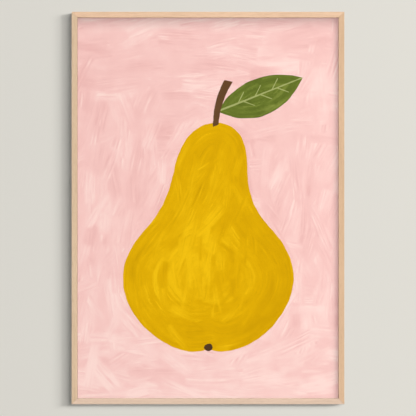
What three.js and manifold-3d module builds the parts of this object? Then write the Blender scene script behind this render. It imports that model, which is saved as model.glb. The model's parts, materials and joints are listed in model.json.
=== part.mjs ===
// A framed art print for a wall: a slim ash frame with mitred corners, a clear glazing sheet, the print,
// a foam mount board and a hardboard back, held in by steel turn buttons that swivel on screws.
// Millimetres, +Z up, the picture faces -Y. The wall is the plane y = 0, and the origin is on that plane,
// on the centre line, at the height of the nails that the two saw-tooth hangers hang on.
import * as THREE from "three";
import { mergeVertices } from "three/addons/utils/BufferGeometryUtils.js";
import Module from "manifold-3d";

const wasm = await Module();
wasm.setup();

// ---- Driving dimensions ----
const sheetWidth = 700; // the print, a 27.5 x 40 inch poster sheet
const sheetHeight = 1016;
const lipOverlap = 5; // how far the frame's lip covers each edge of the print
const sheetPlay = 1; // room round the sheets inside the rebate
const faceWidth = 15; // the moulding, seen from the front
const frameDepth = 20; // the moulding, from front to back
const arris = 0.9; // rounding of the long front edges
const backArris = 0.4; // bevel of the outer back edge
const glazingThickness = 2;
const printThickness = 0.4;
const mountBoardThickness = 5;
const backingThickness = 3;
const gap = 0.3; // between two pieces that touch
const mitreGap = 0.3; // glue line between two rails
const hardwareMargin = 0.7; // wood left on each side of a bumper or a turn button

const bumperThickness = 4;
const bumperRim = 0.8; // rounding of its back edge
const bumperFromEnd = 26;

const buttonThickness = 1.2;
const buttonTaper = 0.8; // how much narrower each side of the tip is
const buttonReach = 22; // from the screw to the tip
const buttonTipLift = 1.4; // the tip is turned up for a finger
const buttonBendLength = 6;
const stileButtonSpacing = 330;
const railButtonSpacing = 270;

const screwShankRadius = 1.25;
const screwLength = 12;
const screwPointLength = 3;
const screwHeadRadius = 2.8;
const screwHeadHeight = 1.6;
const screwHeadRim = 0.5; // the head's straight edge, below its dome
const recessWidth = 0.7; // the cross-shaped driver recess
const recessSpan = 3.2;
const recessDepth = 1;

const hangerSpacing = 440;
const hangerLength = 46;
const hangerThickness = 0.8;
const hangerRise = 1.5; // the toothed middle stands off the wood, to let a nail head in
const hangerMiddle = 22;
const hangerRamp = 2;
const hangerMargin = 0.5; // wood left above and below the hanger
const toothInset = 1.6; // from the hanger's lower edge up to the teeth's tips
const toothPitch = 2;
const toothHeight = 1.2;
const nailShankRadius = 0.7;
const nailHeadRadius = 1.8;
const nailHeadHeight = 0.6;
const nailHeadRim = 0.35;
const nailLength = 9;
const nailPointLength = 1.4;

const vNailThickness = 0.6;
const vNailAngle = THREE.MathUtils.degToRad(55); // between a leg and the mitre line
const vNailDepth = 10;
const vNailInnerWood = 3.1; // between the V's point and the rebate
const vNailOuterWood = 1.8; // between the legs' ends and the frame's outer faces

// ---- Worked out from them ----
const frameWidth = sheetWidth + 2 * (faceWidth - lipOverlap);
const frameHeight = sheetHeight + 2 * (faceWidth - lipOverlap);
const wall = faceWidth - lipOverlap - sheetPlay; // wood outside the rebate
const backY = -(bumperThickness + gap);
const frontY = backY - frameDepth;
const hardwareY = backY + gap; // the underside of what is fastened to the back
const bumperRadius = wall / 2 - hardwareMargin;
const buttonHalfWidth = wall / 2 - hardwareMargin; // round the screw
const buttonTipHalfWidth = buttonHalfWidth - buttonTaper;
const screwSeatY = hardwareY + buttonThickness + gap;
const nailSeatY = hardwareY + hangerThickness + gap;
const hangerLowEdge = wall - hangerMargin;
const toothTips = hangerLowEdge - toothInset;
const topZ = toothTips - toothHeight; // the wall's nails bear in the roots of the teeth
const middleZ = topZ - frameHeight / 2;
const bottomZ = topZ - frameHeight;
const vNailPoint = Math.SQRT2 * (wall - vNailInnerWood); // along the mitre from its outer end
const vNailLeg =
  (vNailPoint - Math.SQRT2 * vNailOuterWood) / (Math.cos(vNailAngle) + Math.sin(vNailAngle));

const roundSides = 24;
const smallRoundSides = 16;
const arcSteps = 4;
const cutterReach = 1; // how far a cutting shape runs past the face that it opens
const mergeDistance = 1e-4;

// ---- Geometry helpers ----
function toSolid(geometry) {
  const bare = geometry.clone();
  bare.deleteAttribute("normal");
  bare.deleteAttribute("uv");
  const merged = mergeVertices(bare, mergeDistance);
  const triVerts = new Uint32Array(merged.index.array);
  const vertProperties = merged.attributes.position.array;
  return new wasm.Manifold(new wasm.Mesh({ numProp: 3, vertProperties, triVerts }));
}

function toGeometry(solid) {
  const mesh = solid.getMesh();
  const geometry = new THREE.BufferGeometry();
  geometry.setAttribute("position", new THREE.BufferAttribute(mesh.vertProperties, mesh.numProp));
  geometry.setIndex(new THREE.BufferAttribute(mesh.triVerts, 1));
  return geometry;
}

// A shape drawn in X and Z, made solid between two depths.
function plate(shape, lowY, highY) {
  const geometry = new THREE.ExtrudeGeometry(shape, {
    depth: highY - lowY,
    bevelEnabled: false,
    curveSegments: arcSteps,
  });
  return geometry.rotateX(Math.PI / 2).translate(0, highY, 0);
}

// A shape drawn in Z and Y, made solid along X and centred on x = 0.
function bar(shape, length) {
  const geometry = new THREE.ExtrudeGeometry(shape, {
    depth: length,
    bevelEnabled: false,
    curveSegments: arcSteps,
  });
  return geometry.rotateY(-Math.PI / 2).translate(length / 2, 0, 0);
}

// A shape drawn in X and Y, made solid between two heights.
function strip(shape, lowZ, highZ) {
  const geometry = new THREE.ExtrudeGeometry(shape, { depth: highZ - lowZ, bevelEnabled: false });
  return geometry.translate(0, 0, lowZ);
}

function polygon(points) {
  return new THREE.Shape(points.map(([a, b]) => new THREE.Vector2(a, b)));
}

// A turned piece about Y, from a profile of [radius, y].
function turned(profile, sides) {
  const points = profile.map(([radius, y]) => new THREE.Vector2(radius, y));
  return new THREE.LatheGeometry(points, sides);
}

// A quarter of an ellipse, as profile points from its side up to its top.
function quarterRound(centreRadius, centreY, across, up) {
  const points = [];
  for (let step = 0; step <= arcSteps; step++) {
    const angle = (step / arcSteps) * (Math.PI / 2);
    points.push([centreRadius + across * Math.cos(angle), centreY + up * Math.sin(angle)]);
  }
  return points;
}

// A round hole's cutter about Y, at x and z.
function hole(radius, lowY, highY, x, z) {
  const cutter = new THREE.CylinderGeometry(radius, radius, highY - lowY, roundSides);
  return toSolid(cutter.translate(x, (lowY + highY) / 2, z));
}

// ---- Materials ----
const ash = new THREE.MeshStandardMaterial({ color: 0xe4c09a, roughness: 0.55, metalness: 0 });
const acrylic = new THREE.MeshStandardMaterial({
  color: 0xffffff,
  roughness: 0.05,
  metalness: 0,
  transparent: true,
  opacity: 0.1,
});
const paper = new THREE.MeshStandardMaterial({ color: 0xf9cdc7, roughness: 0.9, metalness: 0 });
const foamBoard = new THREE.MeshStandardMaterial({ color: 0xf0ede4, roughness: 0.9, metalness: 0 });
const hardboard = new THREE.MeshStandardMaterial({ color: 0x8a6238, roughness: 0.8, metalness: 0 });
const zincSteel = new THREE.MeshStandardMaterial({ color: 0xb8bcc0, roughness: 0.35, metalness: 1 });
const blackRubber = new THREE.MeshStandardMaterial({ color: 0x2b2b2b, roughness: 0.8, metalness: 0 });

function piece(name, geometry, material) {
  const mesh = new THREE.Mesh(geometry, material);
  mesh.name = name;
  return mesh;
}

// ---- Frame ----
// Each side is drawn in its own frame: X along it, +Z inwards from its outer edge, Y as in the part.

// The corner that a V-nail pins, as (along the mitre inwards, across it), turned into the side's X and Z.
function cornerPoint(sideLength, end, along, across) {
  const inwards = (along + across) / Math.SQRT2;
  const fromEnd = (along - across) / Math.SQRT2;
  return [end * (sideLength / 2 - fromEnd), inwards];
}

// The V's outline. Its point faces the inside of the frame, and grow widens it for the slot that takes it.
function vNailShape(sideLength, end, grow) {
  const half = vNailThickness / 2 + grow;
  const leg = vNailLeg + grow;
  const sin = Math.sin(vNailAngle);
  const cos = Math.cos(vNailAngle);
  const legEnd = (side, face) => [
    vNailPoint - leg * cos + face * half * sin,
    side * (leg * sin + face * half * cos),
  ];
  const outline = [
    [vNailPoint + half / sin, 0],
    legEnd(1, 1),
    legEnd(1, -1),
    [vNailPoint - half / sin, 0],
    legEnd(-1, -1),
    legEnd(-1, 1),
  ];
  return polygon(outline.map(([along, across]) => cornerPoint(sideLength, end, along, across)));
}

function railProfile() {
  const sheetsDepth = backingThickness + mountBoardThickness + printThickness + glazingThickness;
  const seatY = backY - sheetsDepth - 4 * gap;
  const profile = new THREE.Shape();
  profile.moveTo(backArris, backY);
  profile.lineTo(wall, backY);
  profile.lineTo(wall, seatY);
  profile.lineTo(faceWidth, seatY);
  profile.lineTo(faceWidth, frontY + arris);
  profile.absarc(faceWidth - arris, frontY + arris, arris, 0, -Math.PI / 2, true);
  profile.lineTo(arris, frontY);
  profile.absarc(arris, frontY + arris, arris, -Math.PI / 2, -Math.PI, true);
  profile.lineTo(0, backY - backArris);
  return profile;
}

function rail(length, buttonPlaces, nailPlaces) {
  const geometry = bar(railProfile(), length);
  const position = geometry.attributes.position;
  const mitreSetback = (mitreGap / 2) * Math.SQRT2;
  for (let i = 0; i < position.count; i++) {
    const mitred = length / 2 - position.getZ(i) - mitreSetback;
    position.setX(i, Math.sign(position.getX(i)) * mitred);
  }
  let solid = toSolid(geometry);
  for (const end of [-1, 1]) {
    const slot = plate(vNailShape(length, end, gap), backY - vNailDepth - gap, backY + cutterReach);
    solid = solid.subtract(toSolid(slot));
  }
  for (const x of buttonPlaces) {
    const holeEnd = screwSeatY - screwLength - gap;
    solid = solid.subtract(hole(screwShankRadius + gap, holeEnd, backY + cutterReach, x, wall / 2));
  }
  for (const x of nailPlaces) {
    const holeEnd = nailSeatY - nailLength - gap;
    solid = solid.subtract(hole(nailShankRadius + gap, holeEnd, backY + cutterReach, x, wall / 2));
  }
  return toGeometry(solid);
}

function vNail(length) {
  return plate(vNailShape(length, 1, 0), backY - vNailDepth, backY);
}

// ---- Turn buttons ----
// A steel strip, flat round its screw, with its tip turned up. It points inwards, over the hardboard.
function turnButton() {
  const outline = new THREE.Shape();
  outline.absarc(0, 0, buttonHalfWidth, 0, Math.PI, true);
  outline.lineTo(-buttonTipHalfWidth, buttonReach - buttonTipHalfWidth);
  outline.absarc(0, buttonReach - buttonTipHalfWidth, buttonTipHalfWidth, Math.PI, 0, true);
  const lowY = hardwareY;
  const highY = lowY + buttonThickness;
  const blank = toSolid(plate(outline, lowY, highY + buttonTipLift));

  const bendStart = buttonReach - buttonBendLength;
  const bendMiddle = buttonReach - buttonBendLength / 2;
  const side = new THREE.Shape();
  side.moveTo(-buttonHalfWidth - cutterReach, lowY);
  side.lineTo(bendStart, lowY);
  side.quadraticCurveTo(bendMiddle, lowY, buttonReach, lowY + buttonTipLift);
  side.lineTo(buttonReach, highY + buttonTipLift);
  side.quadraticCurveTo(bendMiddle, highY, bendStart, highY);
  side.lineTo(-buttonHalfWidth - cutterReach, highY);
  const bent = toSolid(bar(side, 2 * (buttonHalfWidth + cutterReach)));

  const pivotHole = hole(screwShankRadius + gap, lowY - cutterReach, highY + cutterReach, 0, 0);
  return toGeometry(blank.intersect(bent).subtract(pivotHole)).translate(0, 0, wall / 2);
}

function buttonScrew() {
  const headTop = screwSeatY + screwHeadHeight;
  const tip = screwSeatY - screwLength;
  const profile = [
    [0, tip],
    [screwShankRadius, tip + screwPointLength],
    [screwShankRadius, screwSeatY],
    [screwHeadRadius, screwSeatY],
    ...quarterRound(0, screwSeatY + screwHeadRim, screwHeadRadius, screwHeadHeight - screwHeadRim),
  ];
  let solid = toSolid(turned(profile, roundSides));
  for (const [width, height] of [[recessSpan, recessWidth], [recessWidth, recessSpan]]) {
    const slot = new THREE.BoxGeometry(width, 2 * recessDepth, height);
    solid = solid.subtract(toSolid(slot.translate(0, headTop, 0)));
  }
  return toGeometry(solid).translate(0, 0, wall / 2);
}

// ---- Hangers ----
// A flat steel bar with its middle pressed outwards and teeth along that middle's lower edge.
function hanger() {
  const half = hangerLength / 2;
  const toothedHalf = hangerMiddle / 2;
  const teeth = Math.round(hangerMiddle / toothPitch);
  const toothWidth = hangerMiddle / teeth;
  const outline = [
    [-half, hangerMargin],
    [half, hangerMargin],
    [half, hangerLowEdge],
    [toothedHalf + hangerRamp, hangerLowEdge],
    [toothedHalf, toothTips],
  ];
  for (let tooth = 0; tooth < teeth; tooth++) {
    const tip = toothedHalf - tooth * toothWidth;
    outline.push([tip - toothWidth / 2, toothTips - toothHeight]);
    outline.push([tip - toothWidth, toothTips]);
  }
  outline.push([-toothedHalf - hangerRamp, hangerLowEdge]);
  outline.push([-half, hangerLowEdge]);
  const lowY = hardwareY;
  const highY = lowY + hangerThickness;
  const blank = toSolid(plate(polygon(outline), lowY, highY + hangerRise));

  const steps = [
    [-half, 0],
    [-toothedHalf - hangerRamp, 0],
    [-toothedHalf, hangerRise],
    [toothedHalf, hangerRise],
    [toothedHalf + hangerRamp, 0],
    [half, 0],
  ];
  const under = steps.map(([x, rise]) => [x, lowY + rise]);
  const over = steps.map(([x, rise]) => [x, highY + rise]).reverse();
  const pressed = toSolid(strip(polygon([...under, ...over]), 0, wall));

  let solid = blank.intersect(pressed);
  for (const x of hangerNailPlaces(0)) {
    const nailHole = hole(nailShankRadius + gap, lowY - cutterReach, highY + cutterReach, x, wall / 2);
    solid = solid.subtract(nailHole);
  }
  return toGeometry(solid);
}

// The two nails are in the middle of the hanger's flat ends.
function hangerNailPlaces(centre) {
  const flatEnd = (hangerLength - hangerMiddle) / 2 - hangerRamp;
  return [-1, 1].map((side) => centre + side * (hangerLength / 2 - flatEnd / 2));
}

function hangerNail() {
  const tip = nailSeatY - nailLength;
  const edge = nailHeadHeight - nailHeadRim;
  const profile = [
    [0, tip],
    [nailShankRadius, tip + nailPointLength],
    [nailShankRadius, nailSeatY],
    [nailHeadRadius, nailSeatY],
    ...quarterRound(nailHeadRadius - edge, nailSeatY + nailHeadRim, edge, edge),
    [0, nailSeatY + nailHeadHeight],
  ];
  return turned(profile, smallRoundSides).translate(0, 0, wall / 2);
}

// ---- Bumpers ----
// Their back faces bear on the wall.
function bumper() {
  const profile = [
    [0, -bumperThickness],
    [bumperRadius, -bumperThickness],
    ...quarterRound(bumperRadius - bumperRim, -bumperRim, bumperRim, bumperRim),
    [0, 0],
  ];
  return turned(profile, roundSides).translate(0, 0, wall / 2);
}

// ---- Sheets, front to back ----
function sheets() {
  const group = new THREE.Group();
  const stack = [
    ["backing_board", backingThickness, hardboard],
    ["mount_board", mountBoardThickness, foamBoard],
    ["art_print", printThickness, paper],
    ["glazing_sheet", glazingThickness, acrylic],
  ];
  let y = backY;
  for (const [name, thickness, material] of stack) {
    const sheet = piece(name, new THREE.BoxGeometry(sheetWidth, thickness, sheetHeight), material);
    sheet.position.set(0, y - thickness / 2, middleZ);
    group.add(sheet);
    y -= thickness + gap;
  }
  return group;
}

// ---- Assembly ----
const art = new THREE.Group();
const buttonGeometry = turnButton();
const screwGeometry = buttonScrew();
const bumperGeometry = bumper();
const hangerGeometry = hanger();
const nailGeometry = hangerNail();

const stileButtons = [-stileButtonSpacing, 0, stileButtonSpacing];
const railButtons = [-railButtonSpacing / 2, railButtonSpacing / 2];
const hangerPlaces = [-hangerSpacing / 2, hangerSpacing / 2];

// Going round, each side's +X end meets the next side.
const sides = [
  {
    name: "bottom_rail",
    corner: "bottom_right",
    length: frameWidth,
    turn: 0,
    at: [0, bottomZ],
    buttons: railButtons,
    hangers: [],
    bumpers: [],
  },
  {
    name: "right_stile",
    corner: "top_right",
    length: frameHeight,
    turn: -90,
    at: [frameWidth / 2, middleZ],
    buttons: stileButtons,
    hangers: [],
    bumpers: ["bumper_bottom_right", "bumper_top_right"],
  },
  {
    name: "top_rail",
    corner: "top_left",
    length: frameWidth,
    turn: 180,
    at: [0, topZ],
    buttons: railButtons,
    hangers: hangerPlaces,
    bumpers: [],
  },
  {
    name: "left_stile",
    corner: "bottom_left",
    length: frameHeight,
    turn: 90,
    at: [-frameWidth / 2, middleZ],
    buttons: stileButtons,
    hangers: [],
    bumpers: ["bumper_top_left", "bumper_bottom_left"],
  },
];

let buttonNumber = 0;
let hangerNumber = 0;
let nailNumber = 0;
for (const side of sides) {
  const group = new THREE.Group();
  group.rotation.y = THREE.MathUtils.degToRad(side.turn);
  group.position.set(side.at[0], 0, side.at[1]);

  const nailPlaces = side.hangers.flatMap(hangerNailPlaces);
  group.add(piece(side.name, rail(side.length, side.buttons, nailPlaces), ash));
  group.add(piece("v_nail_" + side.corner, vNail(side.length), zincSteel));
  for (const x of side.buttons) {
    buttonNumber += 1;
    const button = piece("turn_button_" + buttonNumber, buttonGeometry, zincSteel);
    const screw = piece("button_screw_" + buttonNumber, screwGeometry, zincSteel);
    button.position.x = x;
    screw.position.x = x;
    group.add(button, screw);
  }
  for (const x of side.hangers) {
    hangerNumber += 1;
    const plateMesh = piece("hanger_" + hangerNumber, hangerGeometry, zincSteel);
    plateMesh.position.x = x;
    group.add(plateMesh);
  }
  for (const x of nailPlaces) {
    nailNumber += 1;
    const nail = piece("hanger_nail_" + nailNumber, nailGeometry, zincSteel);
    nail.position.x = x;
    group.add(nail);
  }
  side.bumpers.forEach((name, index) => {
    const pad = piece(name, bumperGeometry, blackRubber);
    pad.position.x = (index === 0 ? -1 : 1) * (side.length / 2 - bumperFromEnd);
    group.add(pad);
  });
  art.add(group);
}
art.add(sheets());

export default art;
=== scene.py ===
# The looks of a framed art print: a slim ash frame on a wall, with a painted pear under clear glazing.
# Metres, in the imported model's frame: +Z up, the picture faces -Y, and the wall is the plane y = 0.
import json
import math
from collections import namedtuple

import bpy
import numpy as np
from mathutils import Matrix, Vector, noise
from mathutils.geometry import delaunay_2d_cdt


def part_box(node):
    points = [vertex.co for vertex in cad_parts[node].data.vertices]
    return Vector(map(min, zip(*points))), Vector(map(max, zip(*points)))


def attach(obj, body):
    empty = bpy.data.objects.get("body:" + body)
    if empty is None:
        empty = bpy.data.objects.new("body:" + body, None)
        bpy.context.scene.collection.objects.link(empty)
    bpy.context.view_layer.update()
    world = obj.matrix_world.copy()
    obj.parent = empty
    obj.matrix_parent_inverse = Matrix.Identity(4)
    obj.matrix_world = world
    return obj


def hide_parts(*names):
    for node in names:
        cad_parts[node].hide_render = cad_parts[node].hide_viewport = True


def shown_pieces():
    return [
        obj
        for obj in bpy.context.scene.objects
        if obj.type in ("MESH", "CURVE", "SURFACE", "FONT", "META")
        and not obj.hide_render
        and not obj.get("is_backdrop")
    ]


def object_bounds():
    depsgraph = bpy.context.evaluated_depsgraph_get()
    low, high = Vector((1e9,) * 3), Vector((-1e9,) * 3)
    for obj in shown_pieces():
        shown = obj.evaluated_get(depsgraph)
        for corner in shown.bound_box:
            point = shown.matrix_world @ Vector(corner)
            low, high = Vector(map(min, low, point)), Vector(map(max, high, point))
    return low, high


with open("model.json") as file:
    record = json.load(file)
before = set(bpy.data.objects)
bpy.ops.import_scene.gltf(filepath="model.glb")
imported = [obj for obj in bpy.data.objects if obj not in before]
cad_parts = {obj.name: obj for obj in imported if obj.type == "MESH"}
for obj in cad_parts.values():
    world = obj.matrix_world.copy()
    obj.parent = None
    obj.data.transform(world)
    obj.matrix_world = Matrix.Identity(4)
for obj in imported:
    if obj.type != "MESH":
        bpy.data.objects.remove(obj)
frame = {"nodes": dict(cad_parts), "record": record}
cad_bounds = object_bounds()
low, high = cad_bounds
middle = (low + high) / 2

FRAME_BODY = "frame"
RAILS = ("bottom_rail", "top_rail")
STILES = ("left_stile", "right_stile")
X_AXIS, Z_AXIS = 0, 2

# Directions that a surface faces
FRONT, BACK, RIGHT = (0, -1, 0), (0, 1, 0), (1, 0, 0)
UP, DOWN = (0, 0, 1), (0, 0, -1)

# ---- Camera and stage ----
LENS_MM = 120
SENSOR_MM = 36
VIEW_WIDTH = 1.098  # at the frame's front
FLOOR_DROP = 0.35  # from the frame's lower edge to the floor
WALL_SIZE = 9.0
FLOOR_SIZE = 40.0
WALL_CLEARANCE = 0.0002  # behind the bumpers
WALL_PAINTED_SHADE_SPAN = (0.7, 4.5)  # where the painted shade on the wall starts and ends, right of the middle

# ---- Light ----
EXPOSURE = 1.15  # scales the lights on the object's front
STAGE_EXPOSURE = 0.84  # scales the lights on the wall
PICTURE_EXPOSURE = 1.118  # how bright white paint would show on the picture, where a full white shows as 1
WOOD_EXPOSURE = 1.285  # and on the wood
SUN_DISTANCE = 1.0  # where a far light's symbol stands, which changes nothing
ROOM_COLOUR = (1.0, 0.98, 0.94, 1.0)
ROOM_SEEN = 0.72  # how much brighter the room's walls look than they shine
ROOM_LIGHT = 0.02

# ---- Colours, as display values from 0 to 255 ----
DISPLAY_WHITE = 255
WALL_COLOURS = ((242, 239, 230), (239, 236, 227))
WALL_PAINTED_SHADE_FAR_RIGHT = (192, 190, 183)  # painted shade, which offsets the extra light of the key lamps, nearer there
FLOOR_COLOURS = ((232, 229, 222), (228, 225, 218))
PAPER_COLOURS = ((244, 242, 236), (250, 249, 245))
FOAM_COLOURS = ((238, 236, 228), (248, 247, 242))
RUBBER_COLOURS = ((34, 34, 35), (52, 51, 50))
HARDBOARD_COLOURS = ((112, 78, 52), (152, 112, 78))
HARDBOARD_FIBRE = (168, 128, 92)
HARDBOARD_CLOUD = (116, 82, 56)
ASH_COLOURS = {
    "top_rail": (240, 202, 168),
    "bottom_rail": (231, 202, 178),
    "left_stile": (227, 197, 164),
    "right_stile": (225, 188, 152),
}
ASH_LIGHTER = 6  # the light bands of the grain, and the dark ones, against the mean
ASH_DARKER = 9
ASH_PORE = (150, 112, 80)

# Each paint of the picture: its dark, middle and light colour, and how strongly its bristle lines show.
# The picture's exposure is over 1 and divides them, so a value just above 255 still reflects less than
# it receives.
PAINTS = {
    "ground": ("pink_paint", (243, 189, 184), (252, 204, 198), (259, 223, 215), 0.55),
    "pear": ("yellow_paint", (214, 162, 4), (229, 176, 6), (247, 196, 18), 0.5),
    "leaf": ("green_paint", (88, 100, 36), (108, 122, 46), (140, 150, 68), 0.6),
    "vein": ("pale_green_paint", (158, 164, 96), (170, 176, 108), (186, 190, 124), 0.3),
    "stem": ("brown_paint", (86, 58, 34), (104, 72, 44), (128, 92, 60), 0.4),
    "calyx": ("dark_brown_paint", (72, 50, 30), (86, 60, 38), (106, 76, 50), 0.4),
}
PAINT_NAMES = tuple(PAINTS)

# Metals are given as linear reflectances.
ZINC_DARK = (0.56, 0.58, 0.61, 1)
ZINC_LIGHT = (0.70, 0.72, 0.74, 1)
ZINC_DULL = (0.50, 0.49, 0.46, 1)


# ======================================================================================================
# Node helpers
# ======================================================================================================
# The Mix node has sockets for every kind of value, so the colour ones are known by their numbers.
MIX_FACTOR, MIX_A, MIX_B = 0, 6, 7
MIX_RESULT = 2


def add(tree, kind, inputs=None, **settings):
    """Adds a node, sets its properties, and fills or links its inputs by name or number."""
    made = tree.nodes.new(kind)
    for name, value in settings.items():
        setattr(made, name, value)
    for key, value in (inputs or {}).items():
        socket = made.inputs[key]
        if isinstance(value, bpy.types.NodeSocket):
            tree.links.new(value, socket)
        else:
            socket.default_value = value
    return made


def maths(tree, operation, a, b=0.0, c=0.0, clamp=False):
    made = add(tree, "ShaderNodeMath", {0: a, 1: b, 2: c}, operation=operation, use_clamp=clamp)
    return made.outputs[0]


def mix_colour(tree, factor, a, b):
    made = add(tree, "ShaderNodeMix", {MIX_FACTOR: factor, MIX_A: a, MIX_B: b}, data_type="RGBA")
    return made.outputs[MIX_RESULT]


def ramp(tree, value, between, gives=(0.0, 1.0)):
    """A smooth change from the first result to the second, while the value goes between two limits."""
    inputs = {"Value": value, "From Min": between[0], "From Max": between[1],
              "To Min": gives[0], "To Max": gives[1]}
    return add(tree, "ShaderNodeMapRange", inputs, interpolation_type="SMOOTHSTEP").outputs[0]


def stretched(tree, vector, scale, offset=(0, 0, 0)):
    inputs = {"Vector": vector, "Scale": scale, "Location": offset}
    return add(tree, "ShaderNodeMapping", inputs).outputs[0]


def noise_value(tree, vector, scale, detail=2.0, roughness=0.5, distortion=0.0):
    inputs = {"Vector": vector, "Scale": scale, "Detail": detail, "Roughness": roughness,
              "Distortion": distortion}
    return add(tree, "ShaderNodeTexNoise", inputs).outputs["Fac"]


def attribute(tree, name):
    return add(tree, "ShaderNodeAttribute", attribute_name=name)


def srgb(display, exposure=1.0):
    """A colour's display values as linear ones, divided by the exposure."""
    def linear(value):
        share = value / DISPLAY_WHITE
        return share / 12.92 if share <= 0.04045 else ((share + 0.055) / 1.055) ** 2.4
    return (*(linear(value) / exposure for value in display), 1.0)


def new_material(name):
    """A material with a Principled shader, as (material, tree, shader)."""
    material = bpy.data.materials.new(name)
    material.use_nodes = True
    tree = material.node_tree
    return material, tree, tree.nodes["Principled BSDF"]


def colour_with(tree, shader, colour):
    tree.links.new(colour, shader.inputs["Base Color"])


def bump(tree, shader, height, distance, strength=1.0):
    made = add(tree, "ShaderNodeBump", {"Height": height, "Distance": distance, "Strength": strength})
    tree.links.new(made.outputs[0], shader.inputs["Normal"])


def object_place(tree):
    return add(tree, "ShaderNodeTexCoord").outputs["Object"]


# ======================================================================================================
# Stage
# ======================================================================================================
def make_camera():
    """A camera straight in front of the frame's middle."""
    data = bpy.data.cameras.new("camera")
    data.lens = LENS_MM
    data.sensor_width = SENSOR_MM
    camera = bpy.data.objects.new("camera", data)
    bpy.context.scene.collection.objects.link(camera)
    distance = VIEW_WIDTH * LENS_MM / SENSOR_MM
    camera.location = (middle.x, low.y - distance, middle.z)
    camera.rotation_euler = (math.pi / 2, 0, 0)
    bpy.context.scene.camera = camera


def stage_plane(name, centre, across, up, size, material):
    """A square of the stage, facing across x up."""
    half = size / 2
    across, up, centre = Vector(across) * half, Vector(up) * half, Vector(centre)
    corners = [centre - across - up, centre + across - up, centre + across + up, centre - across + up]
    mesh = bpy.data.meshes.new(name)
    mesh.from_pydata(corners, [], [(0, 1, 2, 3)])
    mesh.materials.append(material)
    plane = bpy.data.objects.new(name, mesh)
    bpy.context.scene.collection.objects.link(plane)
    plane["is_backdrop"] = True
    return plane


def wall_material():
    """Matt emulsion paint, seen from the front only, so that the picture's back can be looked at."""
    material, tree, shader = new_material("wall_paint")
    roller = noise_value(tree, object_place(tree), scale=260, detail=3)
    cloud = noise_value(tree, object_place(tree), scale=1.3)
    rightwards = add(tree, "ShaderNodeSeparateXYZ", {"Vector": object_place(tree)}).outputs["X"]
    pale, soft = (srgb(colour) for colour in WALL_COLOURS)
    colour = mix_colour(tree, cloud, pale, soft)
    # Painted shade: the wall turns darker towards its far right, against the brighter light from the
    # nearer lamps.
    colour = mix_colour(tree, ramp(tree, rightwards, WALL_PAINTED_SHADE_SPAN), colour, srgb(WALL_PAINTED_SHADE_FAR_RIGHT))
    colour_with(tree, shader, colour)
    shader.inputs["Roughness"].default_value = 0.9
    shader.inputs["Specular IOR Level"].default_value = 0.2
    bump(tree, shader, roller, distance=0.0001, strength=0.12)
    clear = add(tree, "ShaderNodeBsdfTransparent")
    behind = add(tree, "ShaderNodeNewGeometry").outputs["Backfacing"]
    sides = add(tree, "ShaderNodeMixShader", {0: behind, 1: shader.outputs[0], 2: clear.outputs[0]})
    tree.links.new(sides.outputs[0], tree.nodes["Material Output"].inputs["Surface"])
    return material


def floor_material():
    material, tree, shader = new_material("floor_paint")
    cloud = noise_value(tree, object_place(tree), scale=2.0)
    colour_with(tree, shader, mix_colour(tree, cloud, *(srgb(colour) for colour in FLOOR_COLOURS)))
    shader.inputs["Roughness"].default_value = 0.8
    return material


def make_stage():
    """The wall and the floor, neither of which throws its own light or shadow on the object."""
    wall_centre = (0, high.y + WALL_CLEARANCE, middle.z)
    wall = stage_plane("wall", wall_centre, (1, 0, 0), (0, 0, 1), WALL_SIZE, wall_material())
    floor_centre = (0, 0, low.z - FLOOR_DROP)
    floor = stage_plane("floor", floor_centre, (1, 0, 0), (0, 1, 0), FLOOR_SIZE, floor_material())
    floor.visible_glossy = False
    for plane in (wall, floor):
        plane.visible_diffuse = False
        plane.visible_shadow = False
    return wall, floor


def direction_from(azimuth, elevation):
    """The unit vector towards a light, azimuth measured from -Y towards +X."""
    a, e = math.radians(azimuth), math.radians(elevation)
    return Vector((math.sin(a) * math.cos(e), -math.cos(a) * math.cos(e), math.sin(e)))


def soft_light(name, receivers, azimuth, elevation, spread, exposure, distance=None, facing=FRONT):
    """A round soft light, far away or at a distance.

    A white surface that faces the given direction is lit to the exposure.
    """
    towards = direction_from(azimuth, elevation)
    strength = exposure * math.pi / towards.dot(Vector(facing))
    spread = math.radians(spread)
    if distance is None:
        data = bpy.data.lights.new(name, "SUN")
        data.angle = spread
        data.energy = strength
    else:
        data = bpy.data.lights.new(name, "AREA")
        data.shape = "DISK"
        data.size = 2 * distance * math.tan(spread / 2)
        data.energy = strength * math.pi * distance**2
    data.cycles.use_multiple_importance_sampling = False  # else some leaks past the wood into the shadows
    light = bpy.data.objects.new(name, data)
    light.location = middle + towards * (distance or SUN_DISTANCE)
    light.rotation_mode = "QUATERNION"
    light.rotation_quaternion = towards.to_track_quat("Z", "Y")
    light.visible_camera = False
    light.light_linking.receiver_collection = receivers
    bpy.context.scene.collection.objects.link(light)
    return light


def collect(name, objects):
    made = bpy.data.collections.new(name)
    for one in objects:
        made.objects.link(one)
    return made


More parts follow.
